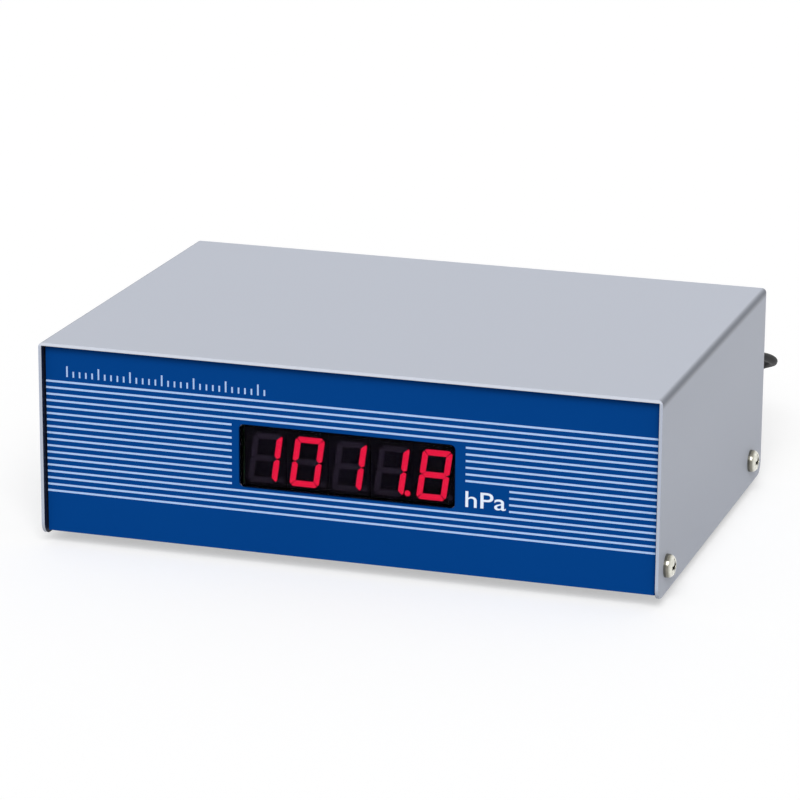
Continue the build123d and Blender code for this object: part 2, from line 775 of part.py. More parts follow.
def voltage_regulator():
    half = REGULATOR_WIDTH / 2
    left = REGULATOR_X - half
    right = REGULATOR_X + half
    foot = main_top + REGULATOR_FOOT
    body_top = main_top + REGULATOR_BODY_TOP
    tab_top = main_top + REGULATOR_TOP
    package = block((left, regulator_y - REGULATOR_BODY, foot), (right, regulator_y, body_top))
    package += block((left, regulator_y - REGULATOR_TAB, foot), (right, regulator_y, tab_top))
    tab = facing_front(REGULATOR_X, regulator_y - REGULATOR_TAB, tab_hole_z)
    package -= punch(tab, Circle(board_hole), REGULATOR_TAB)
    for x, y in regulator_legs():
        leg = Box(LEG_SIDE, LEG_SIDE, foot - main_under + LEG_PROUD, align=LOW)
        package += Pos(x, y, main_under - LEG_PROUD) * leg
    return package


def heat_sink():
    comb = Pos(0, SINK_BASE / 2) * Rectangle(SINK_WIDTH, SINK_BASE)
    step = (SINK_WIDTH - SINK_FIN_THICK) / (SINK_FIN_COUNT - 1)
    for fin in range(SINK_FIN_COUNT):
        x = -SINK_WIDTH / 2 + SINK_FIN_THICK / 2 + fin * step
        comb += Pos(x, SINK_BASE + SINK_FIN / 2) * Rectangle(SINK_FIN_THICK, SINK_FIN)
    sink = Pos(REGULATOR_X, regulator_y, main_top) * extrude(comb, amount=SINK_HEIGHT)
    hole = facing_front(REGULATOR_X, regulator_y, tab_hole_z)
    return sink - punch(hole, Circle(board_thread), SINK_BASE + SINK_FIN)


# Three electrolytic cans smooth the supply.
CAN_RADIUS = 5.0
CAN_HEIGHT = 16.0
CAN_EDGE = 0.5
CAN_SCORE = 7.5
CAN_SCORE_WIDE = 0.6
CAN_PITCH = 13.0
CAN_X = 2.0
CAN_INSET = 13.0  # from the main board's rear edge


def supply_capacitors():
    can = Cylinder(CAN_RADIUS, CAN_HEIGHT, align=LOW)
    can = chamfer(can.edges().group_by(Axis.Z)[-1], CAN_EDGE)
    score = Box(CAN_SCORE, CAN_SCORE_WIDE, CAN_SCORE_WIDE)
    can -= Pos(0, 0, CAN_HEIGHT) * (score + Rot(0, 0, 90) * score)
    y = main_rear - CAN_INSET
    return [Pos(CAN_X + k * CAN_PITCH, y, main_top) * can for k in (-1, 0, 1)]


# A ribbon cable joins the boards: it is clamped on a socket at each end.
def ribbon_sockets():
    socket = Box(SOCKET_LENGTH, SOCKET_WIDTH, SOCKET_HEIGHT, align=LOW)
    socket = chamfer(socket.edges().filter_by(Axis.Z), SOCKET_CHAMFER)
    return [
        facing_rear(RIBBON_X, display_rear, digit_z) * socket,
        Pos(RIBBON_X, main_front + SOCKET_INSET, main_top) * socket,
    ]


def ribbon_cable():
    upright = display_rear + SOCKET_HEIGHT + RIBBON_THICK / 2
    level = main_top + SOCKET_HEIGHT + RIBBON_THICK / 2
    up_end = digit_z + SOCKET_WIDTH / 2
    back_end = main_front + SOCKET_INSET + SOCKET_WIDTH / 2
    path = FilletPolyline((upright, up_end), (upright, level), (back_end, level), radius=RIBBON_BEND)
    section = Plane.YZ.offset(RIBBON_X) * trace(path, RIBBON_THICK)
    return extrude(section, amount=RIBBON_WIDTH / 2, both=True)


# The lead ends in a screw terminal on the main board.
TERMINAL_X = 50.0
TERMINAL_WIDTH = 11.0
TERMINAL_DEPTH = 8.0
TERMINAL_HEIGHT = 10.0
TERMINAL_PITCH = 5.08
TERMINAL_INSET = 10.0  # from the main board's rear edge
TERMINAL_CHAMFER = 1.2
TERMINAL_SCREW = 1.8
TERMINAL_SCREW_DEEP = 1.5
WIRE_HOLE = 2.6
WIRE_HOLE_DEEP = 5.0
WIRE_Z = 4.0
CORE_RADIUS = 0.6
CORE_LENGTH = 9.0
CORE_GAP = 0.2
CORE_SHORT = 1.0  # from a core's end to the end of its hole
terminal_y = main_rear - TERMINAL_INSET
terminal_rear = terminal_y + TERMINAL_DEPTH / 2
terminal_top = main_top + TERMINAL_HEIGHT
wire_z = main_top + WIRE_Z


def lead_terminal():
    body = Box(TERMINAL_WIDTH, TERMINAL_DEPTH, TERMINAL_HEIGHT, align=LOW)
    body = chamfer(body.edges().filter_by(Axis.X).group_by(Axis.Z)[-1], TERMINAL_CHAMFER)
    body = Pos(TERMINAL_X, terminal_y, main_top) * body
    for side in (-1, 1):
        x = TERMINAL_X + side * TERMINAL_PITCH / 2
        wire_hole = facing_rear(x, terminal_rear, wire_z) * Rectangle(WIRE_HOLE, WIRE_HOLE)
        screw_hole = Pos(x, terminal_y, terminal_top) * Circle(TERMINAL_SCREW)
        body -= extrude(wire_hole, amount=-WIRE_HOLE_DEEP)
        body -= extrude(screw_hole, amount=-TERMINAL_SCREW_DEEP)
    return body


def lead_cores():
    start = terminal_rear + CORE_LENGTH - CORE_GAP
    end = terminal_rear - WIRE_HOLE_DEEP + CORE_SHORT
    cores = []
    for side in (-1, 1):
        near = Vector(TERMINAL_X + side * LEAD_RADIUS / 2, start, wire_z)
        far = Vector(TERMINAL_X + side * TERMINAL_PITCH / 2, end, wire_z)
        core = Cylinder(CORE_RADIUS, (far - near).length, align=LOW)
        cores.append(Plane(origin=near, z_dir=far - near) * core)
    return cores


# Inside the case the lead runs from the bushing to the terminal. It starts level with the cover's
# rear edge. Its bends are offsets from the bushing's inner end, and then from the end of the jacket.
BUSHING_BENDS = [(0.0, -5.5, 0.0), (-10.0, -9.0, -5.0)]
JACKET_BENDS = [(11.0, 10.5, 3.5), (0.0, 8.6, 0.0)]


def inner_route():
    bushing_end = Vector(lead_x, rear_inner - BUSHING_LOCK_LENGTH, lead_z)
    jacket_end = Vector(TERMINAL_X, terminal_rear + CORE_LENGTH, wire_z)
    bends = [bushing_end + bend for bend in BUSHING_BENDS] + [jacket_end + bend for bend in JACKET_BENDS]
    return [Vector(lead_x, half_depth, lead_z), *bends, jacket_end]


# The bushing holds the lead in the rear wall. It has a lock inside, and a head and a grooved tail outside.
def lead_bushing():
    bore = LEAD_RADIUS + LEAD_FIT
    neck = BUSHING_HOLE - PRESS_FIT
    inner_end = -SHEET - BUSHING_LOCK_LENGTH
    tip = BUSHING_HEAD_THICK + BUSHING_TAIL
    step = BUSHING_TAIL / (BUSHING_GROOVES + 1)
    slope = (BUSHING_TAIL_THIN - BUSHING_TAIL_THICK) / BUSHING_TAIL
    points = [
        (bore, inner_end),
        (BUSHING_HOLE - BUSHING_LEAD_IN, inner_end),
        (BUSHING_LOCK, -SHEET - BUSHING_LOCK_LENGTH / 3),
        (BUSHING_LOCK, -SHEET),
        (neck, -SHEET),
        (neck, 0),
        (BUSHING_HEAD, 0),
        (BUSHING_HEAD, BUSHING_HEAD_THICK - BUSHING_CHAMFER),
        (BUSHING_HEAD - BUSHING_CHAMFER, BUSHING_HEAD_THICK),
        (BUSHING_TAIL_THICK, BUSHING_HEAD_THICK),
    ]
    for groove in range(BUSHING_GROOVES):
        start = (groove + 1) * step - BUSHING_GROOVE / 2
        end = start + BUSHING_GROOVE
        points += [
            (BUSHING_TAIL_THICK + slope * start, BUSHING_HEAD_THICK + start),
            (BUSHING_TAIL_THICK + slope * start - BUSHING_GROOVE_DEEP, BUSHING_HEAD_THICK + start),
            (BUSHING_TAIL_THICK + slope * end - BUSHING_GROOVE_DEEP, BUSHING_HEAD_THICK + end),
            (BUSHING_TAIL_THICK + slope * end, BUSHING_HEAD_THICK + end),
        ]
    points += [(BUSHING_TAIL_THIN, tip), (bore, tip)]
    sleeve = revolve(make_face(Polyline(*points, close=True)), axis=Axis.Y)
    return Pos(lead_x, rear_outer, lead_z) * sleeve


# The rest of the lead is wound into a coil behind the case, and tied.
def lead_coil():
    bundle = RectangleRounded(COIL_WIDE, COIL_HIGH, COIL_ROUND)
    section = Plane.XZ * Pos(COIL_MIDDLE, TIE_THICK + COIL_HIGH / 2) * bundle
    return Pos(coil_x, coil_y, 0) * revolve(section, axis=Axis.Z)


def coil_tie():
    inner_wide = COIL_WIDE + 2 * TIE_FIT
    inner_high = COIL_HIGH + TIE_FIT
    band = Box(inner_wide + 2 * TIE_THICK, TIE_WIDE, inner_high + 2 * TIE_THICK, align=LOW)
    band -= Pos(0, 0, TIE_THICK) * Box(inner_wide, 2 * TIE_WIDE, inner_high, align=LOW)
    band = fillet(band.edges().filter_by(Axis.Y).group_by(Axis.Z)[-1], COIL_ROUND / 2)
    return Pos(coil_x, coil_y, 0) * Rot(0, 0, TIE_ANGLE) * Pos(COIL_MIDDLE, 0, 0) * band


# The adapter lies on its side: a moulded body, a face plate and two flat blades that point to the back.
plug_x, plug_y, plug_z = lead_tail[-1]
adapter_right = plug_x - NOZZLE_LENGTH
adapter_left = adapter_right - ADAPTER_LENGTH
adapter_front = plug_y - ADAPTER_DEPTH / 2
adapter_rear = adapter_front + ADAPTER_DEPTH
blade_root = adapter_rear + ADAPTER_FACE
blade_places = [(adapter_left + adapter_right + side * BLADE_SPACING) / 2 for side in (-1, 1)]


def adapter_body():
    body = block((adapter_left, adapter_front, 0), (adapter_right, adapter_rear, ADAPTER_WIDTH))
    body = fillet(body.edges().filter_by(Axis.Y) + body.edges().group_by(Axis.Y)[0], ADAPTER_ROUND)
    nozzle = Cone(NOZZLE_THICK, NOZZLE_THIN, NOZZLE_LENGTH, align=LOW)
    return body + Plane(origin=(adapter_right, plug_y, plug_z), z_dir=(1, 0, 0)) * nozzle


def adapter_face():
    plate = block((adapter_left, adapter_rear, 0), (adapter_right, blade_root, ADAPTER_WIDTH))
    plate = fillet(plate.edges().filter_by(Axis.Y), ADAPTER_ROUND)
    slot = Rectangle(BLADE_THICK + 2 * BLADE_FIT, BLADE_WIDE + 2 * BLADE_FIT)
    for x in blade_places:
        plate -= punch(facing_rear(x, blade_root, plug_z), slot, ADAPTER_FACE)
    return plate


def adapter_blades():
    outline = Rectangle(BLADE_WIDE, ADAPTER_FACE + BLADE_LENGTH)
    outline = chamfer(outline.vertices().group_by(Axis.Y)[-1], BLADE_HOLE)
    outline -= Pos(0, (ADAPTER_FACE + BLADE_LENGTH) / 2 - BLADE_HOLE_BACK) * Circle(BLADE_HOLE)
    middle = (adapter_rear + blade_root + BLADE_LENGTH) / 2
    blades = []
    for x in blade_places:
        plane = Plane(origin=(x, middle, plug_z), x_dir=(0, 0, 1), z_dir=(-1, 0, 0))
        blades.append(extrude(plane * outline, amount=BLADE_THICK / 2, both=True))
    return blades


nodes = {
    "top_cover": top_cover(),
    "chassis": chassis(),
    "cover_screws": cover_screws(),
    "clinch_nuts": clinch_nuts(),
    "rubber_feet": rubber_feet(),
    "front_panel": front_panel(),
    "stripe_print": stripe_print(),
    "scale_print": scale_print(),
    "display_window": display_window(),
    "lit_segments": light_guides(True),
    "dark_segments": light_guides(False),
    "digit_pins": digit_pins(),
    "display_board": display_board(),
    "display_standoffs": display_standoffs(),
    "driver_chip": driver_chip(),
    "main_board": main_board(),
    "board_standoffs": board_standoffs(),
    "board_screws": board_screws(),
    "controller_chip": controller_chip(),
    "converter_chip": converter_chip(),
    "pressure_sensor": pressure_sensor(),
    "calibration_trimmers": calibration_trimmers(),
    "crystal": crystal(),
    "voltage_regulator": voltage_regulator(),
    "heat_sink": heat_sink(),
    "supply_capacitors": supply_capacitors(),
    "ribbon_sockets": ribbon_sockets(),
    "ribbon_cable": ribbon_cable(),
    "lead_terminal": lead_terminal(),
    "lead_cores": lead_cores(),
    "lead_inner": cord("lead_inner", inner_route(), LEAD_RADIUS),
    "lead_bushing": lead_bushing(),
    "lead_run": cord("lead_run", lead_run, LEAD_RADIUS),
    "lead_coil": lead_coil(),
    "coil_tie": coil_tie(),
    "lead_tail": cord("lead_tail", lead_tail, LEAD_RADIUS),
    "adapter_body": adapter_body(),
    "adapter_face": adapter_face(),
    "adapter_blades": adapter_blades(),
}
for place in range(len(READING)):
    nodes[f"digit_{place + 1}"] = digit_housing(place)

os.makedirs("parts", exist_ok=True)
for name, shapes in nodes.items():
    pieces = shapes if isinstance(shapes, list) else [shapes]
    solids = [solid for piece in pieces for solid in piece.solids()]
    export_step(solids[0] if len(solids) == 1 else Compound(solids), f"parts/{name}.step")
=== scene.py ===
import math

import bmesh
import bpy
from mathutils import Euler, Matrix, Vector

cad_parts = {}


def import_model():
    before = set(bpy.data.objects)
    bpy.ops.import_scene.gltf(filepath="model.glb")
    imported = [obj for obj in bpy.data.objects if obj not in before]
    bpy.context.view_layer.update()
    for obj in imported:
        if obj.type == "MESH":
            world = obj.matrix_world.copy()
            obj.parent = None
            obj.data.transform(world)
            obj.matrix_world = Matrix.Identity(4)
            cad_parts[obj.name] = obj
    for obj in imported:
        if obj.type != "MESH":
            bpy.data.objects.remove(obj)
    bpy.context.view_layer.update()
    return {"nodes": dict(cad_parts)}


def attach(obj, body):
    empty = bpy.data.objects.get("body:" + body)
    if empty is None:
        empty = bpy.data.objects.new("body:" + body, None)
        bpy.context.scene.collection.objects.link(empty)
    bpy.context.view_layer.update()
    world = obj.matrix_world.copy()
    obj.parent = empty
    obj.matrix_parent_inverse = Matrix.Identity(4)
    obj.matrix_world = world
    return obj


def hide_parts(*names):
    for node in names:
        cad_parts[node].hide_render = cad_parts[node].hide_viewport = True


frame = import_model()
nodes = frame["nodes"]
scene = bpy.context.scene
mm = 0.001

# The camera looks at the front from the right and from above, through a long lens.
# Its place was worked out from the edges of the case.
camera_azimuth = 17.66
camera_elevation = 16.22
camera_roll = 0.38
camera_place = (0.3415, -1.0846, 0.3667)
camera_lens = 174.15
camera_film = 36.0

lens = bpy.data.cameras.new("camera")
lens.lens = camera_lens
lens.sensor_width = camera_film
camera = bpy.data.objects.new("camera", lens)
aim = Euler((math.radians(90 - camera_elevation), 0, math.radians(camera_azimuth)))
roll = Matrix.Rotation(math.radians(camera_roll), 4, "Z")
camera.matrix_world = Matrix.Translation(camera_place) @ aim.to_matrix().to_4x4() @ roll
scene.collection.objects.link(camera)
scene.camera = camera

# The lead is a round two-core lead, 1.45 m long, in a satin black jacket that is extruded over the cores.
# It leaves the rear wall, comes round behind the case, lies in thirteen turns in a coil on the floor,
# and goes on to the adapter. Its jacket is a little cloudy and faintly grained, as all the finishes are.


def new_group(name, inputs, outputs):
    """A shader node group with named sockets, and its input and output nodes."""
    group = bpy.data.node_groups.new(name, "ShaderNodeTree")
    for label, kind in inputs.items():
        group.interface.new_socket(label, in_out="INPUT", socket_type=kind)
    for label, kind in outputs.items():
        group.interface.new_socket(label, in_out="OUTPUT", socket_type=kind)
    return group, group.nodes.new("NodeGroupInput").outputs, group.nodes.new("NodeGroupOutput").inputs


def feed(tree, socket, value):
    """Sets a socket to a number or a colour, or links another node's output to it."""
    if isinstance(value, bpy.types.NodeSocket):
        tree.links.new(value, socket)
    else:
        socket.default_value = value


def math_node(tree, operation, *values):
    """The output of a math node with these values or outputs as its inputs."""
    node = tree.nodes.new("ShaderNodeMath")
    node.operation = operation
    for socket, value in zip(node.inputs, values):
        feed(tree, socket, value)
    return node.outputs[0]


def raise_normal(tree, distance, height):
    """Bumps the shader's normal. The height is from 0 to 1, and 1 stands that far out."""
    bump = tree.nodes.new("ShaderNodeBump")
    feed(tree, bump.inputs["Distance"], distance)
    feed(tree, bump.inputs["Height"], height)
    feed(tree, tree.nodes["Principled BSDF"].inputs["Normal"], bump.outputs["Normal"])


def noise_node(tree, vector, size, detail=3.0):
    """Noise from 0 to 1 whose lumps are about that size, in metres."""
    noise = tree.nodes.new("ShaderNodeTexNoise")
    feed(tree, noise.inputs["Vector"], vector)
    feed(tree, noise.inputs["Scale"], math_node(tree, "DIVIDE", 1.0, size))
    feed(tree, noise.inputs["Detail"], detail)
    return noise.outputs["Fac"]


number = "NodeSocketFloat"
colour = "NodeSocketColor"
grain_group, given, result = new_group(
    "cloud and grain",
    {
        "Color": colour,
        "Cloud size": number,
        "Cloud depth": number,
        "Roughness": number,
        "Roughness spread": number,
        "Grain size": number,
    },
    {"Color": colour, "Roughness": number, "Height": number},
)
place = grain_group.nodes.new("ShaderNodeTexCoord").outputs["Object"]
cloud = noise_node(grain_group, place, given["Cloud size"])
cloud_shift = math_node(grain_group, "SUBTRACT", cloud, 0.5)
shade = grain_group.nodes.new("ShaderNodeVectorMath")
shade.operation = "SCALE"
feed(grain_group, shade.inputs[0], given["Color"])
feed(grain_group, shade.inputs["Scale"], math_node(
    grain_group, "MULTIPLY_ADD", cloud_shift, given["Cloud depth"], 1.0))
feed(grain_group, result["Color"], shade.outputs[0])
feed(grain_group, result["Roughness"], math_node(
    grain_group, "MULTIPLY_ADD", cloud_shift, given["Roughness spread"], given["Roughness"]))
feed(grain_group, result["Height"], noise_node(grain_group, place, given["Grain size"], detail=4.0))


def srgb(red, green, blue):
    """A colour as a screen shows it, from 0 to 255, as the shader wants it."""
    shares = [value / 255 for value in (red, green, blue)]
    return tuple(s / 12.92 if s < 0.0405 else ((s + 0.055) / 1.055) ** 2.4 for s in shares) + (1,)


def finish(name, color, roughness=0.5, spread=0.1, cloud=0.02, depth=0.08, grain=0.4 * mm, height=0.0,
           **shader):
    """A material with the cloud and grain group. The last names are the Principled BSDF's own sockets."""
    material = bpy.data.materials.new(name)
    material.use_nodes = True
    tree = material.node_tree
    principled = tree.nodes["Principled BSDF"]
    group = tree.nodes.new("ShaderNodeGroup")
    group.node_tree = grain_group
    group.name = "cloud and grain"
    feed(tree, group.inputs["Color"], color)
    feed(tree, group.inputs["Cloud size"], cloud)
    feed(tree, group.inputs["Cloud depth"], depth)
    feed(tree, group.inputs["Roughness"], roughness)
    feed(tree, group.inputs["Roughness spread"], spread)
    feed(tree, group.inputs["Grain size"], grain)
    feed(tree, principled.inputs["Base Color"], group.outputs["Color"])
    feed(tree, principled.inputs["Roughness"], group.outputs["Roughness"])
    if height:
        raise_normal(tree, height, group.outputs["Height"])
    for label, value in shader.items():
        principled.inputs[label.replace("_", " ")].default_value = value
    return material


def dress(material, *names):
    """CAD nodes keep their shape and get this material."""
    for name in names:
        nodes[name].data.materials.clear()
        nodes[name].data.materials.append(material)


lead_radius = 1.4
lead_exit = Vector((84.0, 66.5, 0.0))
lead_run = [
    (0.0, 0.0, 34.8),
    (0.0, 17.5, 34.8),
    (2.8, 34.0, 31.6),
    (4.8, 49.5, 25.6),
    (-2.8, 62.5, 20.4),
    (-17.5, 66.0, 14.0),
    (-32.5, 63.0, 7.4),
    (-49.0, 56.8, 2.8),
    (-65.5, 53.6, 1.95),
]
lead_tail = [
    (-78.8, 51.4, 8.8),
    (-88.0, 47.1, 9.4),
    (-96.5, 41.3, 11.6),
    (-104.5, 35.3, 15.2),
    (-113.5, 31.5, 19.0),
    (-123.0, 31.5, 19.0),
]

# The coil is wound in four rows, out and in by turns, and each turn crosses to the next between two angles.
# The points stand out from the turns, because the smooth line passes inside its points.
coil_middle = Vector((15.0, 97.0, 0.0))
turn_pitch = 2.9
outer_turn = 19.95
inner_turn = 12.7
turns_in_rows = (4, 3, 4, 2)
row_foot = 1.95
row_rise = 2.45
points_per_turn = 16
cross_start = 20.0
cross_end = 80.0
cross_rise = 0.36
arrive_angle = 104.0
arrive_radius = 22.1
settle_angle = 160.0
leave_angle = 96.0
leave_radius = 23.1


def ease(value):
    """0 to 1 with a soft start and a soft end."""
    value = min(max(value, 0.0), 1.0)
    return value * value * (3 - 2 * value)


turns = []
for row, count in enumerate(turns_in_rows):
    for turn in range(count):
        radius = inner_turn + turn * turn_pitch if row % 2 else outer_turn - turn * turn_pitch
        turns.append((radius, row))
turns.append((leave_radius, row))

coil = []
stand_out = 1 / math.cos(math.pi / points_per_turn)
angle = arrive_angle
while angle <= 360 * (len(turns) - 1) + leave_angle:
    count, within = divmod(angle - cross_start, 360)
    count = int(count)
    crossed = within / (cross_end - cross_start)
    radius, row = turns[count]
    if count:
        radius_before, row_before = turns[count - 1]
        radius = radius_before + (radius - radius_before) * ease(crossed)
        row = row_before + (row - row_before) * ease(crossed)
    settled = ease((angle - arrive_angle) / (settle_angle - arrive_angle))
    radius += (arrive_radius - outer_turn) * (1 - settled)
    hump = cross_rise * row * math.sin(math.pi * min(crossed, 1.0)) ** 2
    around = math.radians(angle)
    coil.append(coil_middle + Vector((
        stand_out * radius * math.cos(around),
        stand_out * radius * math.sin(around),
        row_foot + row * row_rise + hump,
    )))
    angle += 360 / points_per_turn

lead_points = [lead_exit + Vector(p) for p in lead_run] + coil + [lead_exit + Vector(p) for p in lead_tail]
lead_curve = bpy.data.curves.new("lead", "CURVE")
lead_curve.dimensions = "3D"
lead_line = lead_curve.splines.new("NURBS")
lead_line.points.add(len(lead_points) - 1)
for point, spot in zip(lead_line.points, lead_points):
    point.co = (*(spot * mm), 1)
lead_line.order_u = 3
lead_line.use_endpoint_u = True
lead_line.resolution_u = 6
lead_curve.bevel_depth = lead_radius * mm
lead_curve.bevel_resolution = 5
lead_curve.use_fill_caps = True
lead = bpy.data.objects.new("lead", lead_curve)
scene.collection.objects.link(lead)
lead_jacket = finish("lead_jacket", srgb(17, 18, 20), roughness=0.48, spread=0.12, cloud=0.012, depth=0.2,
                     grain=0.3 * mm, height=0.02 * mm, Specular_IOR_Level=0.08)
lead_curve.materials.append(lead_jacket)
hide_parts("lead_run", "lead_coil", "lead_tail")
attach(lead, "root")
dress(lead_jacket, "lead_inner")

# The cover is 1 mm steel sheet folded to a U, stoved in a satin silver grey with a very fine texture.
# The cut front and rear edges have their own grey, and the cut edge of the top is painted paler, a painted
# highlight. The grey is painted darker over the two folds, a painted reflection, and towards the lower
# edges, painted shade, and the inside is painted near-black as painted shade.
cover_grey = srgb(187, 192, 204)
low_painted_shade_grey = srgb(178, 183, 195)
fold_painted_reflection_grey = srgb(112, 116, 126)
cut_side_grey = srgb(176, 183, 198)
cut_top_painted_highlight = srgb(208, 213, 224)
inside_painted_shade = srgb(14, 20, 40)
half_width = 95.0 * mm
half_depth = 66.5 * mm
cover_top = 63.0 * mm
sheet = 1.0 * mm
fold_reach_over_top = 0.8 * mm
fold_reach_down_side = 2.0 * mm
fold_blur = 1.2 * mm
low_middle = 26.0 * mm
low_blur = 22.0 * mm
cut_reach = 0.06 * mm
inside_reach = 0.06 * mm


def mix_color(tree, share, first, second):
    """The first colour where the share is 0 and the second where it is 1."""
    mix = tree.nodes.new("ShaderNodeMix")
    mix.data_type = "RGBA"
    feed(tree, mix.inputs["Factor"], share)
    feed(tree, mix.inputs["A"], first)
    feed(tree, mix.inputs["B"], second)
    return mix.outputs["Result"]


def object_axes(tree):
    """X, Y and Z of the place on the piece, as three outputs."""
    split = tree.nodes.new("ShaderNodeSeparateXYZ")
    feed(tree, split.inputs[0], tree.nodes.new("ShaderNodeTexCoord").outputs["Object"])
    return split.outputs


def past(tree, value, limit, blur):
    """0 before a limit and 1 after it, over a blur."""
    node = tree.nodes.new("ShaderNodeMapRange")
    node.interpolation_type = "SMOOTHSTEP"
    feed(tree, node.inputs["From Min"], limit - blur)
    feed(tree, node.inputs["From Max"], limit + blur)
    feed(tree, node.inputs["Value"], value)
    return node.outputs["Result"]


def before(tree, value, limit, blur):
    """1 before a limit and 0 after it, over a blur."""
    return math_node(tree, "SUBTRACT", 1.0, past(tree, value, limit, blur))


def product(tree, *masks):
    """A mask that is 1 only where all of these are."""
    total = masks[0]
    for mask in masks[1:]:
        total = math_node(tree, "MULTIPLY", total, mask)
    return total


def paint(material, color):
    """Feeds a worked-out colour to the material's cloud and grain group."""
    tree = material.node_tree
    feed(tree, tree.nodes["cloud and grain"].inputs["Color"], color)


cover_paint = finish("cover_paint", cover_grey, roughness=0.5, spread=0.06, cloud=0.03, depth=0.02,
                     grain=0.35 * mm, height=0.012 * mm, Specular_IOR_Level=0.3)
tree = cover_paint.node_tree
across, along, up = object_axes(tree)
aside = math_node(tree, "ABSOLUTE", across)
deep = math_node(tree, "ABSOLUTE", along)
fold = product(
    tree,
    past(tree, aside, half_width - fold_reach_over_top, fold_reach_over_top),
    past(tree, up, cover_top - fold_reach_down_side, fold_blur),
)
cut = past(tree, deep, half_depth - cut_reach, cut_reach)
# The inside faces are painted near-black, as painted shade.
inside = product(
    tree,
    before(tree, aside, half_width - sheet + inside_reach, inside_reach / 2),
    before(tree, up, cover_top - sheet + inside_reach, inside_reach / 2),
)
# The cut edge of the top is painted paler than the side edges, a painted highlight.
cut_grey = mix_color(tree, past(tree, up, cover_top - sheet, sheet / 2), cut_side_grey, cut_top_painted_highlight)
# Towards the lower edges the grey is painted darker, as painted shade.
flat_grey_and_painted_shade = mix_color(tree, before(tree, up, low_middle, low_blur), cover_grey, low_painted_shade_grey)
# Over the two folds the grey is painted darker, a painted reflection.
folded = mix_color(tree, fold, flat_grey_and_painted_shade, fold_painted_reflection_grey)
edged = mix_color(tree, cut, folded, cut_grey)
paint(cover_paint, mix_color(tree, inside, edged, inside_painted_shade))
dress(cover_paint, "top_cover")

# The chassis is folded from the same sheet and stoved in the same grey, a shade darker. Its front wall is
# hidden behind the panel, and its rear wall has nine slots, which let the room's air to the sensor.
chassis_grey = srgb(174, 177, 186)
chassis_cut_grey = srgb(196, 199, 206)
chassis_top = 61.7 * mm
chassis_side = 93.7 * mm

chassis_paint = finish("chassis_paint", chassis_grey, roughness=0.52, spread=0.06, cloud=0.03, depth=0.03,
                       grain=0.35 * mm, height=0.012 * mm, Specular_IOR_Level=0.3)
tree = chassis_paint.node_tree
across, along, up = object_axes(tree)
cut = math_node(
    tree, "MAXIMUM",
    past(tree, up, chassis_top - cut_reach, cut_reach),
    past(tree, math_node(tree, "ABSOLUTE", across), chassis_side - cut_reach, cut_reach),
)
paint(chassis_paint, mix_color(tree, cut, chassis_grey, chassis_cut_grey))
dress(chassis_paint, "chassis")

# Four pan-head machine screws with cross recesses hold the cover. They are plated in bright nickel. The
# recess and a little way round it are painted dark, painted shade and painted reflection, and the side of
# the head is painted greyer, a painted reflection.
screw_places = (-57.5 * mm, 50.5 * mm)
screw_height = 11.3 * mm
head_top = 97.6 * mm
recess_radius = 2.5 * mm
recess_start = 0.3 * mm
painted_shade_radius = 1.3 * mm
painted_shade_blur = 0.6 * mm
shoulder = 96.6 * mm
shoulder_blur = 0.5 * mm
nickel_bright = srgb(226, 225, 214)
nickel_painted_reflection_grey = srgb(128, 126, 116)
nickel_painted_shade = srgb(38, 36, 30)

nickel = finish("screw_nickel", nickel_bright, roughness=0.2, spread=0.2, cloud=0.0012, depth=0.6,
                grain=0.3 * mm, height=0.01 * mm, Metallic=1.0)
tree = nickel.node_tree
across, along, up = object_axes(tree)
aside = math_node(tree, "ABSOLUTE", across)
offsets = [math_node(tree, "ABSOLUTE", math_node(tree, "SUBTRACT", along, spot)) for spot in screw_places]
level = math_node(tree, "SUBTRACT", up, screw_height)
nearest = math_node(tree, "MINIMUM", *offsets)
squares = [math_node(tree, "POWER", value, 2.0) for value in (nearest, math_node(tree, "ABSOLUTE", level))]
radius = math_node(tree, "SQRT", math_node(tree, "ADD", *squares))
recess = product(
    tree,
    before(tree, radius, recess_radius, recess_start / 3),
    before(tree, aside, head_top - recess_start, recess_start / 2),
)
# The side of the head is painted greyer, a painted reflection.
headed = mix_color(tree, before(tree, aside, shoulder, shoulder_blur), nickel_bright, nickel_painted_reflection_grey)
# The recess and a little way round it are painted dark: painted shade and painted reflection.
painted_dark_mask = math_node(tree, "MAXIMUM", recess, before(tree, radius, painted_shade_radius, painted_shade_blur))
paint(nickel, mix_color(tree, painted_dark_mask, headed, nickel_painted_shade))
dress(nickel, "cover_screws")

# The nuts, standoffs and board screws are turned from steel and zinc plated, with the faint lines of
# the lathe under a dull plate.
zinc = finish("zinc_steel", srgb(190, 192, 194), roughness=0.38, spread=0.2, cloud=0.003, depth=0.15,
              grain=0.2 * mm, height=0.01 * mm, Metallic=1.0)
dress(zinc, "clinch_nuts", "display_standoffs", "board_standoffs", "board_screws")

# The four feet are moulded in black rubber and stuck under the chassis. Rubber of this kind is quite
# matt, with a fine bloom.
rubber = finish("foot_rubber", srgb(34, 34, 35), roughness=0.75, spread=0.1, cloud=0.004, depth=0.2,
                height=0.05 * mm)
dress(rubber, "rubber_feet")

# The front panel is an aluminium plate, anodised and printed a deep blue, and stuck to the front wall.
# Its satin coat hardly shines.
panel_blue = finish("panel_blue", srgb(0, 62, 132), roughness=0.55, spread=0.05, cloud=0.04, depth=0.06,
                    grain=0.5 * mm, height=0.006 * mm, Specular_IOR_Level=0.03)
dress(panel_blue, "front_panel")

# The stripes and ticks are screen-printed on the panel in a white ink that is a little thin, so that
# the blue tints it.
print_white = finish("print_white", srgb(168, 195, 236), roughness=0.55, spread=0.05, cloud=0.003,
                     depth=0.16, Specular_IOR_Level=0.05)
dress(print_white, "stripe_print", "scale_print")

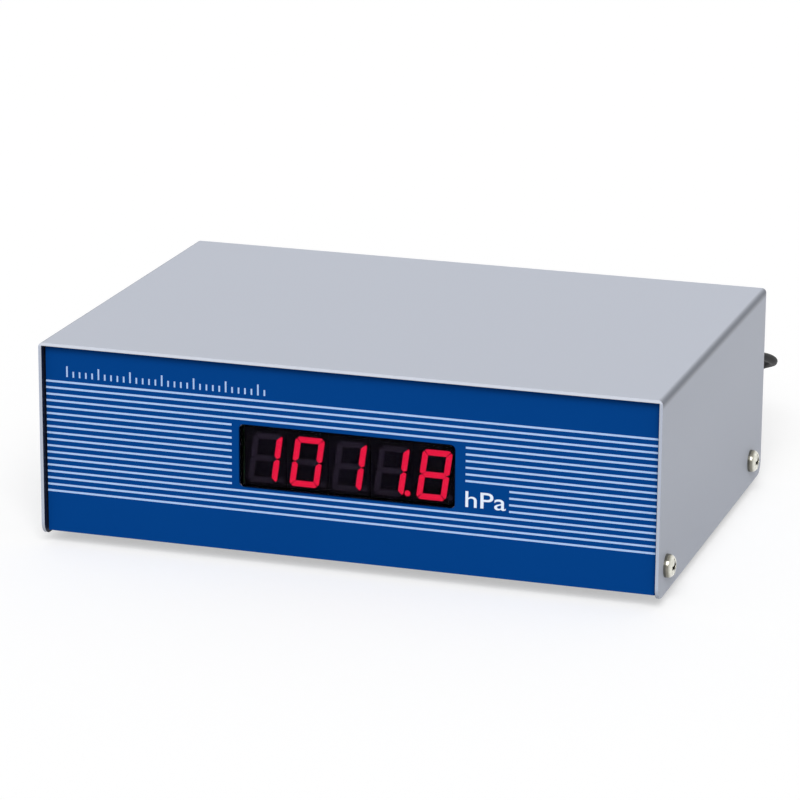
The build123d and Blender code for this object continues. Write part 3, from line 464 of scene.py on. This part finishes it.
# The unit mark is printed beside the window in the same white, twice over, so that it is brighter.
# It is flat ink on the panel's face.
mark_left = 36.75
mark_right = 48.9
mark_foot = 25.0
mark_top = 29.85
mark_bold = 0.003
mark_ink = 0.05
panel_face = -64.5


def box_of(verts):
    """The lowest and the highest corner round some vertices."""
    return [Vector([pick(v.co[axis] for v in verts) for axis in range(3)]) for pick in (min, max)]


mark_white = finish("mark_white", srgb(226, 236, 250), roughness=0.55, spread=0.05, cloud=0.003,
                    depth=0.1, Specular_IOR_Level=0.05)
mark_text = bpy.data.curves.new("unit_mark", "FONT")
mark_text.body = "hPa"
mark_text.offset = mark_bold
mark_text.extrude = mark_ink
drawn = bpy.data.objects.new("unit_mark_text", mark_text)
scene.collection.objects.link(drawn)
bpy.context.view_layer.update()
mark_mesh = bpy.data.meshes.new_from_object(drawn.evaluated_get(bpy.context.evaluated_depsgraph_get()))
bpy.data.objects.remove(drawn)
letters = bmesh.new()
letters.from_mesh(mark_mesh)
low, high = box_of(letters.verts)
bmesh.ops.translate(letters, verts=letters.verts, vec=-low)
bmesh.ops.scale(letters, verts=letters.verts, vec=(
    (mark_right - mark_left) * mm / (high.x - low.x),
    (mark_top - mark_foot) * mm / (high.y - low.y),
    mark_ink * mm / (high.z - low.z),
))
bmesh.ops.rotate(letters, verts=letters.verts, matrix=Matrix.Rotation(math.radians(90), 3, "X"))
bmesh.ops.translate(letters, verts=letters.verts, vec=(mark_left * mm, panel_face * mm, mark_foot * mm))
letters.to_mesh(mark_mesh)
letters.free()
mark = bpy.data.objects.new("unit_mark", mark_mesh)
scene.collection.objects.link(mark)
mark_mesh.materials.clear()
mark_mesh.materials.append(mark_white)
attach(mark, "root")

# The window is smoked acrylic, cut with a polished face and glued in behind the front wall. Its sawn
# edges are painted black, so that they don't light up.
window_middle_x = 0.4 * mm
window_middle_z = 33.65 * mm
window_half_width = 33.0 * mm
window_half_height = 9.5 * mm
rim = 0.05 * mm
smoke_tint = srgb(222, 216, 224)
rim_black = srgb(4, 4, 6)

smoke = finish("window_smoke", smoke_tint, roughness=0.03, spread=0.02, depth=0.02,
               Transmission_Weight=1.0, IOR=1.08)
tree = smoke.node_tree
across, along, up = object_axes(tree)
off_x = math_node(tree, "ABSOLUTE", math_node(tree, "SUBTRACT", across, window_middle_x))
off_z = math_node(tree, "ABSOLUTE", math_node(tree, "SUBTRACT", up, window_middle_z))
edge = math_node(
    tree, "MAXIMUM",
    past(tree, off_x, window_half_width - rim, rim / 2),
    past(tree, off_z, window_half_height - rim, rim / 2),
)
paint(smoke, mix_color(tree, edge, smoke_tint, rim_black))
dress(smoke, "display_window")

# Five digit modules stand side by side behind the window. Each is a black moulded housing with a pocket
# for each of its light guides.
module_black = finish("module_black", srgb(9, 7, 16), roughness=0.8, spread=0.05, cloud=0.004, depth=0.2,
                      Specular_IOR_Level=0.0)
dress(module_black, *(f"digit_{count}" for count in range(1, 6)))

# The light guides are cast in the pockets, in resin. They swell a little past their pockets and have
# soft edges. The lit ones glow red all over, and the others only just show.
guide_swell = 0.05 * mm
guide_proud = 0.04 * mm
guide_edge = 0.05 * mm
weld = 0.001 * mm
flat_angle = math.radians(1)


def islands(shape):
    """The separate lumps of a bmesh, each as a list of its vertices."""
    left = set(shape.verts)
    while left:
        lump = [left.pop()]
        for vert in lump:
            for edge in vert.link_edges:
                other = edge.other_vert(vert)
                if other in left:
                    left.remove(other)
                    lump.append(other)
        yield lump


def cast_guides(name, node, material):
    shape = bmesh.new()
    shape.from_mesh(nodes[node].data)
    bmesh.ops.remove_doubles(shape, verts=shape.verts, dist=weld)
    bmesh.ops.dissolve_limit(shape, angle_limit=flat_angle, verts=shape.verts, edges=shape.edges)
    for lump in list(islands(shape)):
        low, high = box_of(lump)
        size = high - low
        swell = [1 + 2 * guide_swell / size.x, 1, 1 + 2 * guide_swell / size.z]
        bmesh.ops.scale(shape, vec=swell, verts=lump, space=Matrix.Translation(-(low + high) / 2))
        face = [v for v in lump if v.co.y < low.y + weld]
        bmesh.ops.translate(shape, verts=face, vec=(0, -guide_proud, 0))
    front = min(v.co.y for v in shape.verts) + weld
    edges = [e for e in shape.edges if all(v.co.y < front for v in e.verts)]
    bmesh.ops.bevel(shape, geom=edges, offset=guide_edge, affect="EDGES", segments=2, profile=0.5,
                    material=-1)
    bmesh.ops.recalc_face_normals(shape, faces=shape.faces)
    mesh = bpy.data.meshes.new(name)
    shape.to_mesh(mesh)
    shape.free()
    mesh.materials.append(material)
    piece = bpy.data.objects.new(name, mesh)
    scene.collection.objects.link(piece)
    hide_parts(node)
    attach(piece, "root")


segment_red = finish("segment_red", srgb(60, 4, 12), roughness=0.4, spread=0.05, cloud=0.002, depth=0.2,
                     Specular_IOR_Level=0.0, Emission_Color=srgb(255, 30, 72), Emission_Strength=1.0)
segment_dark = finish("segment_dark", srgb(38, 34, 44), roughness=0.6, spread=0.05, cloud=0.002, depth=0.2,
                      Specular_IOR_Level=0.0)
cast_guides("lit_guides", "lit_segments", segment_red)
cast_guides("dark_guides", "dark_segments", segment_dark)

# The modules' pins are tinned steel wire, and the clock crystal's can is drawn and tinned too.
# Tin is bright, but soon goes a little grey.
tin = finish("tinned_lead", srgb(205, 205, 200), roughness=0.3, spread=0.15, cloud=0.002, depth=0.15,
             grain=0.3 * mm, height=0.01 * mm, Metallic=1.0)
dress(tin, "digit_pins", "crystal")

# The boards are glass fibre with copper tracks under a green solder mask, which is paler and a little
# raised where a track runs.
board_green_color = srgb(20, 84, 42)
track_green = srgb(46, 122, 62)
track_pitch = 2.54 * mm
track_width = 0.18
track_run = 7.0

tracks_group, given, result = new_group(
    "copper tracks", {"Across": number, "Along": number}, {"Mask": number})
spot = tracks_group.nodes.new("ShaderNodeCombineXYZ")
feed(tracks_group, spot.inputs["X"], given["Across"])
feed(tracks_group, spot.inputs["Y"], given["Along"])
brick = tracks_group.nodes.new("ShaderNodeTexBrick")
feed(tracks_group, brick.inputs["Vector"], spot.outputs[0])
feed(tracks_group, brick.inputs["Scale"], 1 / track_pitch)
feed(tracks_group, brick.inputs["Mortar Size"], track_width / 2)
feed(tracks_group, brick.inputs["Brick Width"], track_run)
feed(tracks_group, brick.inputs["Row Height"], 1.0)
feed(tracks_group, result["Mask"], brick.outputs["Fac"])


def board_finish(name, second_axis):
    material = finish(name, board_green_color, roughness=0.35, spread=0.1, cloud=0.004, depth=0.2,
                      grain=0.6 * mm, height=0.02 * mm)
    tree = material.node_tree
    axes = object_axes(tree)
    tracks = tree.nodes.new("ShaderNodeGroup")
    tracks.node_tree = tracks_group
    feed(tree, tracks.inputs["Across"], axes["X"])
    feed(tree, tracks.inputs["Along"], axes[second_axis])
    paint(material, mix_color(tree, tracks.outputs["Mask"], board_green_color, track_green))
    return material


dress(board_finish("main_board_green", "Y"), "main_board")
dress(board_finish("display_board_green", "Z"), "display_board")

# The chips and the regulator are moulded in black epoxy, with the fine matt skin that the mould leaves.
# They are soldered to the boards.
epoxy = finish("chip_black", srgb(32, 32, 34), roughness=0.55, spread=0.1, cloud=0.002, depth=0.2,
               grain=0.2 * mm, height=0.02 * mm)
dress(epoxy, "driver_chip", "controller_chip", "converter_chip", "voltage_regulator")

# The pressure sensor is moulded in an off-white plastic, and its barbed nozzle is left open to the air
# inside the case.
sensor_white = finish("sensor_white", srgb(214, 212, 202), depth=0.08, cloud=0.004, grain=0.3 * mm,
                      height=0.02 * mm)
dress(sensor_white, "pressure_sensor")

# The two trimmers are small blue moulded boxes. A screw on top turns the wiper inside, and they are set
# once, when the barometer is calibrated.
trimmer_blue = finish("trimmer_blue", srgb(30, 82, 160), roughness=0.4, depth=0.1, cloud=0.003,
                      grain=0.3 * mm, height=0.02 * mm)
dress(trimmer_blue, "calibration_trimmers")

# The heat sink is sawn from extruded aluminium and anodised black. The die leaves faint lines along
# its fins.
sink_black = finish("sink_black", srgb(40, 40, 42), roughness=0.45, cloud=0.005, depth=0.2,
                    height=0.02 * mm, Metallic=0.6)
dress(sink_black, "heat_sink")

# Three aluminium cans hold the supply's electrolytic capacitors. Each has a dark blue plastic sleeve
# shrunk on.
can_sleeve = finish("can_sleeve", srgb(34, 34, 62), roughness=0.3, cloud=0.004, depth=0.15,
                    height=0.01 * mm)
dress(can_sleeve, "supply_capacitors")

# The ribbon cable is ten grey cores moulded side by side, clamped in a black socket on each board.
# Its cores show as fine grooves.
core_pitch = 1.27 * mm
core_groove = 0.15 * mm
ribbon_middle = -30.0 * mm
ribbon_grey = finish("ribbon_grey", srgb(150, 150, 152), cloud=0.003, depth=0.12)
tree = ribbon_grey.node_tree
turned = math_node(tree, "MULTIPLY", math_node(tree, "SUBTRACT", object_axes(tree)["X"], ribbon_middle),
                   math.pi / core_pitch)
ridge = math_node(tree, "ABSOLUTE", math_node(tree, "SINE", turned))
raise_normal(tree, core_groove, ridge)
dress(ribbon_grey, "ribbon_cable")
socket_black = finish("socket_black", srgb(30, 30, 31), cloud=0.003, depth=0.2, grain=0.3 * mm,
                      height=0.02 * mm)
dress(socket_black, "ribbon_sockets")

# The lead's two cores, in red insulation, are clamped in a green screw terminal on the main board.
# The terminal is moulded in nylon.
terminal_green = finish("terminal_green", srgb(40, 130, 70), roughness=0.45, cloud=0.003, depth=0.12,
                        grain=0.3 * mm, height=0.02 * mm)
dress(terminal_green, "lead_terminal")
core_red = finish("core_insulation", srgb(140, 24, 24), roughness=0.4, cloud=0.002, depth=0.12,
                  grain=0.3 * mm, height=0.01 * mm)
dress(core_red, "lead_cores")

# The bushing is moulded in black nylon and snaps into the rear wall, where it keeps the lead from being
# pulled or bent sharply. The tie round the coil is nylon too.
nylon = finish("bushing_black", srgb(28, 28, 30), spread=0.12, cloud=0.003, depth=0.2, grain=0.3 * mm,
               height=0.03 * mm)
dress(nylon, "lead_bushing", "coil_tie")

# The adapter's housing and face plate are moulded in black, with the fine matt texture of a spark-eroded
# mould, and are welded together. Its two flat blades are brass, plated with nickel.
adapter_black = finish("adapter_black", srgb(24, 24, 26), roughness=0.55, cloud=0.01, depth=0.15,
                       grain=0.35 * mm, height=0.06 * mm, Specular_IOR_Level=0.3)
dress(adapter_black, "adapter_body", "adapter_face")
blade_nickel = finish("blade_nickel", srgb(214, 210, 198), roughness=0.25, spread=0.2, cloud=0.003,
                      depth=0.15, grain=0.3 * mm, height=0.01 * mm, Metallic=1.0)
dress(blade_nickel, "adapter_blades")

# The floor is a wide sheet of white paper. It looks white to the camera and to metal and glass, and
# keeps the object's shadow.
floor_size = 3.0
floor_white = 0.6
floor_lift = 0.45


def seen_directly(tree):
    """1 for what the camera sees, also by way of metal or glass, and 0 for what only lights a surface."""
    rays = tree.nodes.new("ShaderNodeLightPath")
    direct = math_node(tree, "MAXIMUM", rays.outputs["Is Camera Ray"], rays.outputs["Is Glossy Ray"])
    return math_node(tree, "MAXIMUM", direct, rays.outputs["Is Transmission Ray"])


floor_mesh = bpy.data.meshes.new("floor")
paper_sheet = bmesh.new()
bmesh.ops.create_grid(paper_sheet, x_segments=2, y_segments=2, size=floor_size)
paper_sheet.to_mesh(floor_mesh)
paper_sheet.free()
floor = bpy.data.objects.new("floor", floor_mesh)
scene.collection.objects.link(floor)
paper = finish("floor_paper", (floor_white, floor_white, floor_white, 1), roughness=0.9, spread=0.05,
               cloud=0.4, depth=0.01, Specular_IOR_Level=0.0)
tree = paper.node_tree
glow = tree.nodes.new("ShaderNodeEmission")
feed(tree, glow.inputs["Strength"], math_node(tree, "MULTIPLY", seen_directly(tree), floor_lift))
both = tree.nodes.new("ShaderNodeAddShader")
feed(tree, both.inputs[0], tree.nodes["Principled BSDF"].outputs[0])
feed(tree, both.inputs[1], glow.outputs[0])
feed(tree, tree.nodes["Material Output"].inputs["Surface"], both.outputs[0])
floor_mesh.materials.append(paper)

# The studio is a bright room with one large soft light, above and in front. The light is far off, so
# that it falls evenly on the whole floor.
room_strength = 0.45
key_direction = Vector((0.17, -0.56, 0.51))
key_strength = 2.25
key_spread = math.radians(34)

world = bpy.data.worlds.new("studio")
scene.world = world
world.use_nodes = True
tree = world.node_tree
background = tree.nodes["Background"]
feed(tree, background.inputs["Color"], (1, 1, 1, 1))
feed(tree, background.inputs["Strength"], math_node(
    tree, "MULTIPLY_ADD", seen_directly(tree), 1.0 - room_strength, room_strength))

key = bpy.data.lights.new("key", "SUN")
key.energy = key_strength
key.angle = key_spread
lamp = bpy.data.objects.new("key", key)
lamp.matrix_world = key_direction.to_track_quat("Z", "Y").to_matrix().to_4x4()
scene.collection.objects.link(lamp)

scene.view_settings.view_transform = "Standard"
